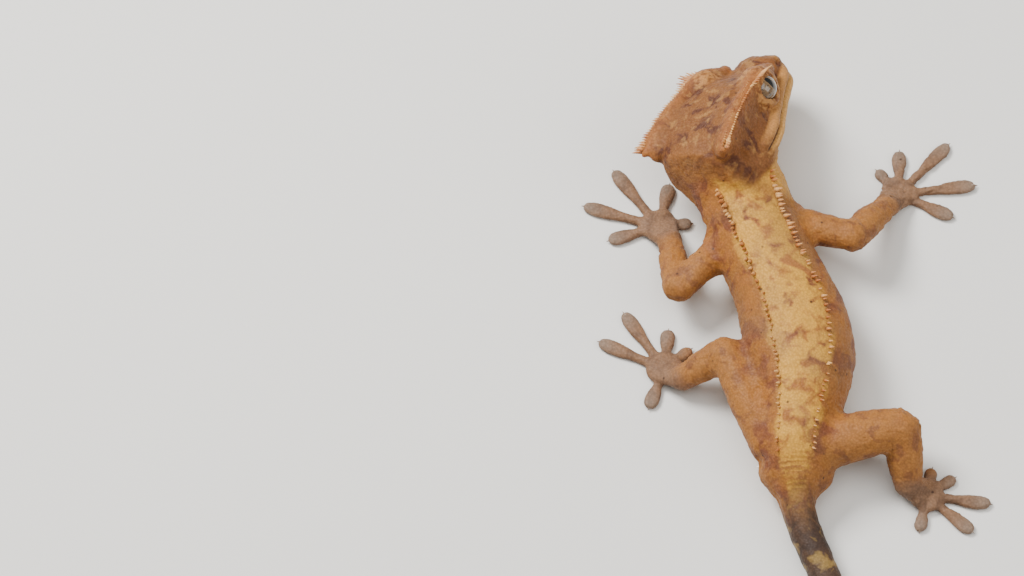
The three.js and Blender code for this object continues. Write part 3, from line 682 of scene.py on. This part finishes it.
def build_skin(material):
    points, quads = surface_of(body_field())
    made = object_from("skin", points, quads, material)
    masks, *_ = skin_masks(points)
    thin_out(made, np.clip(masks["head"] + masks["foot"] * 0.9, 0, 1))
    mesh = made.data
    points = vertices_of(mesh)
    masks, *places = skin_masks(points)
    normals = np.empty(len(points) * 3)
    mesh.vertices.foreach_get("normal", normals)
    points = points + normals.reshape(-1, 3) * relief(points, masks, *places)[:, None]
    mesh.vertices.foreach_set("co", to_metres(points).ravel())
    for name, values in masks.items():
        mesh.attributes.new(name, "FLOAT", "POINT").data.foreach_set("value", values.astype(np.float32))
    mesh.update()
    return made


def spine_tree(material):
    """Pointed scales set on points; their thickness and number of sides are the tree's inputs."""
    tree = bpy.data.node_groups.new("pointed scales", "GeometryNodeTree")
    tree.interface.new_socket("Geometry", in_out="INPUT", socket_type="NodeSocketGeometry")
    for name, kind, value in (("Thickness", "NodeSocketFloat", 0.3), ("Sides", "NodeSocketInt", 7)):
        tree.interface.new_socket(name, in_out="INPUT", socket_type=kind).default_value = value
    tree.interface.new_socket("Geometry", in_out="OUTPUT", socket_type="NodeSocketGeometry")
    given = node(tree, "NodeGroupInput")
    named = "GeometryNodeInputNamedAttribute"
    way = node(tree, named, {"Name": "way"}, data_type="FLOAT_VECTOR")["Attribute"]
    size = node(tree, named, {"Name": "size"}, data_type="FLOAT")["Attribute"]
    cone = node(tree, "GeometryNodeMeshCone", {
        "Vertices": given["Sides"], "Side Segments": 3, "Fill Segments": 1,
        "Radius Top": 0.02, "Radius Bottom": given["Thickness"], "Depth": 1.0,
    })["Mesh"]
    turned = node(tree, "FunctionNodeAlignRotationToVector", {"Vector": way}, axis="Z")["Rotation"]
    scale = node(tree, "ShaderNodeCombineXYZ", {"X": size, "Y": size, "Z": size})["Vector"]
    points = node(tree, "GeometryNodeMeshToPoints", {"Mesh": given["Geometry"]})["Points"]
    set_on = node(tree, "GeometryNodeInstanceOnPoints", {
        "Points": points, "Instance": cone, "Rotation": turned, "Scale": scale,
    })["Instances"]
    real = node(tree, "GeometryNodeRealizeInstances", {"Geometry": set_on})["Geometry"]
    coloured = node(tree, "GeometryNodeSetMaterial", {"Geometry": real, "Material": material})["Geometry"]
    node(tree, "NodeGroupOutput", {"Geometry": coloured})
    return tree


def build_spines(name, roots, ways, lengths, thickness, sides, material):
    """One piece of pointed scales, from their roots, ways and lengths; thickness is a share of length."""
    made = object_from(name, to_metres(roots), [], material)
    facing = made.data.attributes.new("way", "FLOAT_VECTOR", "POINT")
    facing.data.foreach_set("vector", unit(ways).ravel())
    made.data.attributes.new("size", "FLOAT", "POINT").data.foreach_set("value", np.asarray(lengths) / 1000)
    tree = spine_tree(material)
    grown = made.modifiers.new("grow", "NODES")
    grown.node_group = tree
    sockets = {item.name: item.identifier for item in tree.interface.items_tree if item.in_out == "INPUT"}
    grown[sockets["Thickness"]] = thickness
    grown[sockets["Sides"]] = sides
    return finished(made)


def varied(count, seed, amount):
    """Factors round 1 that differ by up to an amount, the same at each run."""
    return 1 + amount * np.random.default_rng(seed).uniform(-1, 1, count)


def crest_points(side, first, last, count):
    """Places along the head's crest, evenly spaced between two shares of its length."""
    line = through(mirrored(CREST, side), 40)
    gaps = np.concatenate([[0], np.cumsum(np.linalg.norm(np.diff(line, axis=0), axis=1))])
    spots = np.interp(np.linspace(first, last, count) * gaps[-1], gaps, np.arange(len(line)))
    return line[np.round(spots).astype(int)]


def crest_spines(material):
    """Pointed scales along the head's crest, longest at its rear corner."""
    scales = []
    for side in (1, -1):
        for row, (out, up, shorter) in enumerate(((0.8, 0.3, 1.0), (0.2, 0.75, 0.62))):
            share = np.linspace(0, 1, 30)
            outward = side * (1.0 - 0.5 * row + 0.2 * share)
            way = np.column_stack([outward, -0.2 - 0.7 * share, np.full(len(share), 0.6 + 0.4 * row)])
            place = crest_points(side, 0.34, 0.99, len(share)) + (side * out, 0, up)
            length = (1.35 + 0.3 * share + step_up(share, 0.86, 1.0)) * shorter
            length = length * varied(len(share), 3 + side + row, 0.2)
            scales.append((from_head(place), way @ HEAD_AXES.T, length))
    return build_spines("crest_spines", *map(np.concatenate, zip(*scales)), 0.28, 7, material)


def lashes(material):
    """Long thin scales in a fan over each eye."""
    scales = []
    for side in (1, -1):
        share = np.linspace(0, 1, 15)
        arch = np.sin(share * math.pi)
        place = crest_points(side, 0.05, 0.36, len(share)) + (side * 0.7, 0, 0.25)
        way = np.column_stack([np.full(len(share), side * 1.3), 0.75 - 1.35 * share, 0.4 + 0.25 * arch])
        length = (1.5 + 1.9 * np.maximum(arch, 0) ** 0.7) * varied(len(share), 13 + side, 0.15)
        scales.append((from_head(place), way @ HEAD_AXES.T, length))
    return build_spines("lashes", *map(np.concatenate, zip(*scales)), 0.17, 7, material)


def back_spines(material):
    """Two rows of pointed scales from the neck to the hips, on both sides of the pale band."""
    scales = []
    per_station = 24
    rows = through([row[:7] for row in AXIS], per_station)
    forward = unit(np.gradient(rows[:, :3], axis=0))
    right = unit(np.cross(forward, (0, 0, 1)))
    above = np.cross(right, forward)
    for side in (1, -1):
        count = 54
        share = np.linspace(0, 1, count)
        chance = np.random.default_rng(31 + side).uniform(-1, 1, (2, count))
        station = NECK_STATION + 0.2 + share * (HIP_STATION + 0.8 - NECK_STATION)
        at = np.round(station * per_station + 1.5 * chance[0]).astype(int)
        angle = np.radians(50 + 9 * share + 2.5 * chance[1])
        rise = np.sin(angle) ** 0.91
        across = np.cos(angle) ** 0.91 * rows[at, 3] * (1 - rows[at, 6] * rise)
        high = rise * rows[at, 4]
        root = rows[at, :3] + side * right[at] * across[:, None] + above[at] * (high[:, None] + 0.1)
        way = side * right[at] * 0.75 + forward[at] * 0.4 + above[at]
        scales.append((root, way, (1.75 - 0.85 * share) * varied(count, 7 + side, 0.32)))
    return build_spines("back_spines", *map(np.concatenate, zip(*scales)), 0.3, 7, material)


def claws(material):
    """A small claw at the end of each toe."""
    roots, ways = [], []
    for _, _, _, palm, _, _, tips in LIMBS.values():
        for tip in tips:
            way = unit(np.array([tip[0] - palm[0], tip[1] - palm[1], 0]))
            roots.append(np.array([*tip, TOE_LEVEL + 0.3]) - way * 0.4)
            ways.append(way + np.array([0, 0, -0.3]))
    return build_spines("claws", roots, ways, np.full(len(roots), 1.5), 0.26, 8, material)


def vent_spurs(material):
    """One pale spur on each side of the vent, as on a male."""
    roots = [VENT + (side * 7.1, 1.9, -0.1) for side in (1, -1)]
    ways = [(side, -0.35, 0.15) for side in (1, -1)]
    return build_spines("vent_spurs", roots, ways, [1.7, 1.7], 0.42, 9, material)


def sphere(around, rings):
    """Points and outward faces of a ball of radius 1 with its poles on Z, in the same order at each run."""
    turned = 2 * math.pi * np.arange(around) / around
    flat = np.column_stack([np.cos(turned), np.sin(turned)])
    tilts = np.linspace(0, math.pi, rings + 1)[1:-1]
    rows = [np.column_stack([math.sin(t) * flat, np.full(around, math.cos(t))]) for t in tilts]
    points = np.vstack([*rows, (0, 0, 1), (0, 0, -1)])
    upper_pole, lower_pole = len(points) - 2, len(points) - 1
    pairs = [(k, (k + 1) % around) for k in range(around)]
    last = (len(rows) - 1) * around
    faces = [(upper_pole, a, b) for a, b in pairs]
    for row in range(0, last, around):
        below = row + around
        faces += [(row + a, below + a, below + b, row + b) for a, b in pairs]
    faces += [(lower_pole, last + b, last + a) for a, b in pairs]
    return points, faces


def build_eye(name, side, material):
    """Eyeball with a bulging front, and each vertex's place in the eye's own frame."""
    own, faces = sphere(64, 48)
    axis = eye_axis(side)
    across = unit(np.cross(HEAD_AXES[:, 2], axis))
    basis = np.array([across, np.cross(axis, across), axis])
    bulge = 1 + 0.05 * step_up(own[:, 2], 0.62, 0.95)
    points = eye_centre(side) + (own * bulge[:, None] * EYE_RADIUS) @ basis
    made = object_from(name, to_metres(points), faces, material)
    made.data.attributes.new("in_eye", "FLOAT_VECTOR", "POINT").data.foreach_set("vector", own.ravel())
    made.data.polygons.foreach_set("use_smooth", [True] * len(faces))
    return made


# Finishes.


def colour(hex_code):
    """Linear colour of an sRGB hex value."""
    parts = [int(hex_code[i : i + 2], 16) / 255 for i in (1, 3, 5)]
    return (*(c / 12.92 if c <= 0.04045 else ((c + 0.055) / 1.055) ** 2.4 for c in parts), 1)


def node(tree, kind, inputs=None, **settings):
    """Adds a node with its settings; inputs take a value or another node's output."""
    made = tree.nodes.new(kind)
    for key, value in settings.items():
        setattr(made, key, value)
    for key, value in (inputs or {}).items():
        if isinstance(value, bpy.types.NodeSocket):
            tree.links.new(value, made.inputs[key])
        else:
            made.inputs[key].default_value = value
    return made.outputs


def maths(tree, operation, *values):
    """Result of one step of arithmetic on numbers or other nodes' outputs."""
    return node(tree, "ShaderNodeMath", dict(enumerate(values)), operation=operation)["Value"]


def ramp(tree, value, low, high, start=0.0, end=1.0):
    """Goes from start to end as a value goes from low to high."""
    return node(tree, "ShaderNodeMapRange", {
        "Value": value, "From Min": low, "From Max": high, "To Min": start, "To Max": end,
    })["Result"]


def noise_texture(tree, place, scale, detail=2.0, distortion=0.0):
    """Soft clouds, from 0 to 1."""
    return node(tree, "ShaderNodeTexNoise", {
        "Vector": place, "Scale": scale, "Detail": detail, "Distortion": distortion,
    })["Fac"]


def mixed(tree, share, under, over, blend="MIX"):
    """One colour over another, as far as its share says."""
    return node(tree, "ShaderNodeMix", {0: share, 6: under, 7: over}, data_type="RGBA", blend_type=blend)[2]


def per_mm(size):
    """Texture scale for features of a size in millimetres."""
    return 1000 / size


def new_material(name):
    material = bpy.data.materials.new(name)
    material.use_nodes = True
    tree = material.node_tree
    tree.nodes.clear()
    return material, tree


def gecko_skin():
    """Living skin of small round scales: matt, a little translucent, with a soft sheen on its scales, and
    with painted light in the middle of each scale and painted shade between them.
    """
    material, tree = new_material("granular gecko skin")
    place = node(tree, "ShaderNodeTexCoord")["Object"]

    def zone(name):
        return node(tree, "ShaderNodeAttribute", attribute_name=name)["Fac"]

    def cloud(size, detail, distortion, low, high):
        return ramp(tree, noise_texture(tree, place, per_mm(size), detail, distortion), low, high)

    def times(*factors):
        result = factors[0]
        for factor in factors[1:]:
            result = maths(tree, "MULTIPLY", result, factor)
        return result

    # Marks on the belly, each a ragged spot round its own place, whatever the height.
    marks = 0.0
    wobble = noise_texture(tree, place, per_mm(1.6))
    in_mm = (1000, 1000, 0)
    flat = node(tree, "ShaderNodeVectorMath", {0: place, 1: in_mm}, operation="MULTIPLY")["Vector"]
    for across, along, radius in BELLY_MARKS:
        centre = (across + SHIFT[0], along + SHIFT[1], 0)
        away = node(tree, "ShaderNodeVectorMath", {0: flat, 1: centre}, operation="DISTANCE")["Value"]
        ragged = maths(tree, "MULTIPLY_ADD", wobble, 2.4 * radius, away)
        marks = maths(tree, "MAXIMUM", marks, ramp(tree, ragged, 2.9 * radius, 2.1 * radius))

    # Small dark dots, in about a quarter of the cells.
    dots = node(tree, "ShaderNodeTexVoronoi", {"Vector": place, "Scale": per_mm(2.6)}, feature="F1")
    chance = node(tree, "ShaderNodeSeparateColor", {"Color": dots["Color"]})["Red"]
    dot = times(ramp(tree, dots["Distance"], 0.15, 0.08), ramp(tree, chance, 0.72, 0.74))

    # Layers of colour, from the ground up: how far each one covers, and its colour.
    head, belly, tail, limb, foot = (zone(n) for n in ("head", "belly", "tail", "limb", "foot"))
    back = maths(tree, "SUBTRACT", 1.0, belly)
    blotches = cloud(6.5, 4.0, 0.7, 0.5, 0.58)
    mottle = cloud(2.8, 4.0, 0.5, 0.47, 0.62)
    # How near a point is to the mouth's line, for the painted shade in the slit between the lips.
    lip_gap_shade = ramp(tree, maths(tree, "ABSOLUTE", zone("level")), 0.24, 0.08)
    layers = [
        (times(blotches, back), "#713f22"),
        (times(mottle, back, 0.5), "#8f5628"),
        (times(zone("band"), cloud(3.6, 4.0, 0.6, 0.36, 0.52)), "#bf8a2e"),
        (times(zone("band"), cloud(9.0, 4.0, 0.9, 0.58, 0.66), 0.85), "#8f5226"),
        (belly, "#c18a36"),
        (times(belly, cloud(5.0, 3.0, 0.4, 0.5, 0.75), 0.45), "#a86f2e"),
        (times(back, cloud(14.0, 3.0, 0.6, 0.48, 0.66), 0.35), "#6d5238"),
        (times(limb, 0.7), "#94602b"),
        (times(limb, cloud(3.4, 4.0, 0.5, 0.53, 0.62), 0.8), "#734627"),
        (times(tail, 0.92), "#3a2b21"),
        (times(tail, cloud(4.2, 4.0, 0.6, 0.5, 0.6), 0.75), "#33241b"),
        (times(tail, cloud(5.0, 4.0, 0.5, 0.56, 0.64), 0.7), "#8f7138"),
        (times(head, back, 0.85), "#74461f"),
        (times(head, back, cloud(4.6, 4.0, 0.7, 0.52, 0.6)), "#532c17"),
        (times(head, back, cloud(2.2, 3.0, 0.4, 0.56, 0.66), 0.55), "#a2733c"),
        (times(zone("upper_lip"), head), "#a8743c"),
        (times(zone("lip"), head), "#c4914f"),
        (times(zone("rim"), cloud(1.2, 2.0, 0.2, 0.4, 0.55)), "#a8733c"),
        (times(zone("crest"), 0.8), "#a5642d"),
        (times(zone("crest"), mottle, 0.7), "#7a4121"),
        (foot, "#7d5c42"),
        (times(foot, mottle, 0.6), "#5b412f"),
        (times(zone("pad"), 0.75), "#7d6a5a"),
        (times(marks, belly, 0.85), "#64351d"),
        (times(dot, 0.8), "#2e1a11"),
        # Painted shade in the slit between the lips, darkest right on the mouth's line.
        (times(zone("mouth"), lip_gap_shade, 0.9), "#38201a"),
    ]
    tint = node(tree, "ShaderNodeRGB")["Color"]
    tint.default_value = colour("#935b20")
    for fac, hex_code in layers:
        tint = mixed(tree, fac, tint, colour(hex_code))

    # Round scales half a millimetre across, lighter in the middle of each as a painted highlight, and darker
    # between them as painted shade.
    scales = node(tree, "ShaderNodeTexVoronoi", {"Vector": place, "Scale": per_mm(0.52)}, feature="F1")
    cells = scales["Distance"]
    # Painted light and shade on each scale, multiplied into the colour.
    scale_light_and_shade = mixed(tree, 1.0, tint, ramp(tree, cells, 0.0, 0.8, 1.14, 0.78), "MULTIPLY")
    creases = noise_texture(tree, place, per_mm(2.2), 5.0)
    rise = maths(tree, "MULTIPLY_ADD", cells, -0.75, creases)
    bump = node(tree, "ShaderNodeBump", {"Height": rise, "Strength": 0.6, "Distance": 0.00018})["Normal"]
    rough = ramp(tree, cells, 0.0, 1.0, 0.5, 0.75)
    shader = node(tree, "ShaderNodeBsdfPrincipled", {
        "Base Color": scale_light_and_shade, "Roughness": rough, "Normal": bump, "IOR": 1.4, "Specular IOR Level": 0.35,
        "Subsurface Weight": 0.08, "Subsurface Radius": (0.0016, 0.0008, 0.0004), "Subsurface Scale": 1.0,
        "Sheen Weight": 0.03,
    })["BSDF"]
    node(tree, "ShaderNodeOutputMaterial", {"Surface": shader})
    return material


def horn(name, dark_colour, pale_colour, roughness):
    """Keratin of scale tips, spurs and claws: smooth, waxy and a little translucent."""
    material, tree = new_material(name)
    place = node(tree, "ShaderNodeTexCoord")["Object"]
    patch = ramp(tree, noise_texture(tree, place, per_mm(3.5)), 0.4, 0.62)
    tint = mixed(tree, patch, colour(dark_colour), colour(pale_colour))
    streaks = noise_texture(tree, place, per_mm(0.25))
    bump = node(tree, "ShaderNodeBump", {"Height": streaks, "Strength": 0.2, "Distance": 0.00003})["Normal"]
    shader = node(tree, "ShaderNodeBsdfPrincipled", {
        "Base Color": tint, "Roughness": roughness, "Normal": bump, "IOR": 1.54,
        "Subsurface Weight": 0.1, "Subsurface Radius": (0.0008, 0.0005, 0.0003), "Subsurface Scale": 1.0,
    })["BSDF"]
    node(tree, "ShaderNodeOutputMaterial", {"Surface": shader})
    return material


def eye_glass():
    """Lidless eye under a clear scale: wet gloss over a veined copper iris with a ragged upright slit."""
    material, tree = new_material("gecko eye")
    place = node(tree, "ShaderNodeAttribute", attribute_name="in_eye")["Vector"]
    axes = node(tree, "ShaderNodeSeparateXYZ", {"Vector": place})
    veins = noise_texture(tree, place, VEIN_SCALE, 6.0, 1.6)
    notches = noise_texture(tree, place, NOTCH_SCALE, 1.0)

    # Half width of the slit, widest at the eye's level; past it come the pale edge and the iris.
    slit = maths(tree, "MULTIPLY_ADD", maths(tree, "POWER", axes["Y"], 2.0), -0.34, 0.1)
    slit = maths(tree, "MULTIPLY_ADD", notches, 0.08, slit)
    past = maths(tree, "SUBTRACT", maths(tree, "ABSOLUTE", axes["X"]), slit)
    tint = mixed(tree, ramp(tree, veins, 0.5, 0.6), colour("#745a3b"), colour("#2e2016"))
    layers = (
        (ramp(tree, past, 0.16, 0.07), "#8a6c48"),
        (ramp(tree, axes["Z"], 0.62, 0.45), "#1d120e"),
        (ramp(tree, past, 0.07, 0.04), "#040403"),
    )
    for fac, hex_code in layers:
        tint = mixed(tree, fac, tint, colour(hex_code))
    shader = node(tree, "ShaderNodeBsdfPrincipled", {
        "Base Color": tint, "Roughness": 0.25, "IOR": 1.38, "Coat Weight": 1.0, "Coat Roughness": 0.03,
    })["BSDF"]
    node(tree, "ShaderNodeOutputMaterial", {"Surface": shader})
    return material


def floor_paint():
    """Plain pale matt board."""
    material, tree = new_material("pale board")
    place = node(tree, "ShaderNodeTexCoord")["Object"]
    tint = mixed(tree, noise_texture(tree, place, FLOOR_SCALE), colour("#d9d6d0"), colour("#dedbd5"))
    shader = node(tree, "ShaderNodeBsdfPrincipled", {"Base Color": tint, "Roughness": 0.8})["BSDF"]
    node(tree, "ShaderNodeOutputMaterial", {"Surface": shader})
    return material


# Stage.


def build_stage():
    """Floor and soft studio light."""
    half = FLOOR_HALF
    corners = [(-half, -half, 0), (half, -half, 0), (half, half, 0), (-half, half, 0)]
    floor = object_from("floor", corners, [(0, 1, 2, 3)], floor_paint())

    world = bpy.data.worlds.new("studio")
    world.use_nodes = True
    world.node_tree.nodes["Background"].inputs["Color"].default_value = colour("#eef0f2")
    world.node_tree.nodes["Background"].inputs["Strength"].default_value = 0.4
    bpy.context.scene.world = world

    middle = Vector(to_metres((0, -30, 8)))
    lights = (
        ("key", (-0.42, 0.32, 0.62), 0.3, 11.0),
        ("fill", (0.55, -0.2, 0.5), 0.5, 2.6),
        ("top", (0, -0.1, 0.9), 0.7, 5.0),
    )
    for name, place, size, power in lights:
        light = bpy.data.lights.new(name, "AREA")
        light.size = size
        light.energy = power
        made = bpy.data.objects.new(name, light)
        made.location = middle + Vector(place)
        made.rotation_euler = (-Vector(place)).to_track_quat("-Z", "Y").to_euler()
        bpy.context.collection.objects.link(made)


def build_camera():
    """The photograph's line of sight, kept but looked along from the other side, above the floor."""
    lens = bpy.data.cameras.new("camera")
    lens.lens = CAMERA_LENS
    lens.clip_end = 20
    camera = bpy.data.objects.new("camera", lens)
    distance = PICTURE_WIDTH / PHOTO_SCALE * CAMERA_LENS / lens.sensor_width / 1000
    tilt = math.radians(CAMERA_TILT)
    back = Vector((0, -math.sin(tilt), math.cos(tilt)))
    camera.location = Vector(to_metres(AIM)) + back * distance
    camera.rotation_euler = (tilt, 0, 0)
    bpy.context.collection.objects.link(camera)
    bpy.context.scene.camera = camera


# Putting it together.

skin = build_skin(gecko_skin())
scale_horn = horn("spiny scale tips", "#a3602c", "#d3a265", 0.5)
spines = [crest_spines(scale_horn), lashes(scale_horn), back_spines(scale_horn)]
claw_piece = claws(horn("claw horn", "#6b5546", "#8c7766", 0.35))
spurs = vent_spurs(horn("white spur horn", "#efe8d8", "#f6f1e6", 0.4))
eyes = [build_eye("eyeball_right", 1, eye_glass()), build_eye("eyeball_left", -1, eye_glass())]

flesh = [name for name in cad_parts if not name.startswith("eye")]
for piece in (skin, *spines, claw_piece, spurs, *eyes):
    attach(piece, "root")
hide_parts(*flesh)
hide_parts("eye_right")
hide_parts("eye_left")

build_stage()
build_camera()
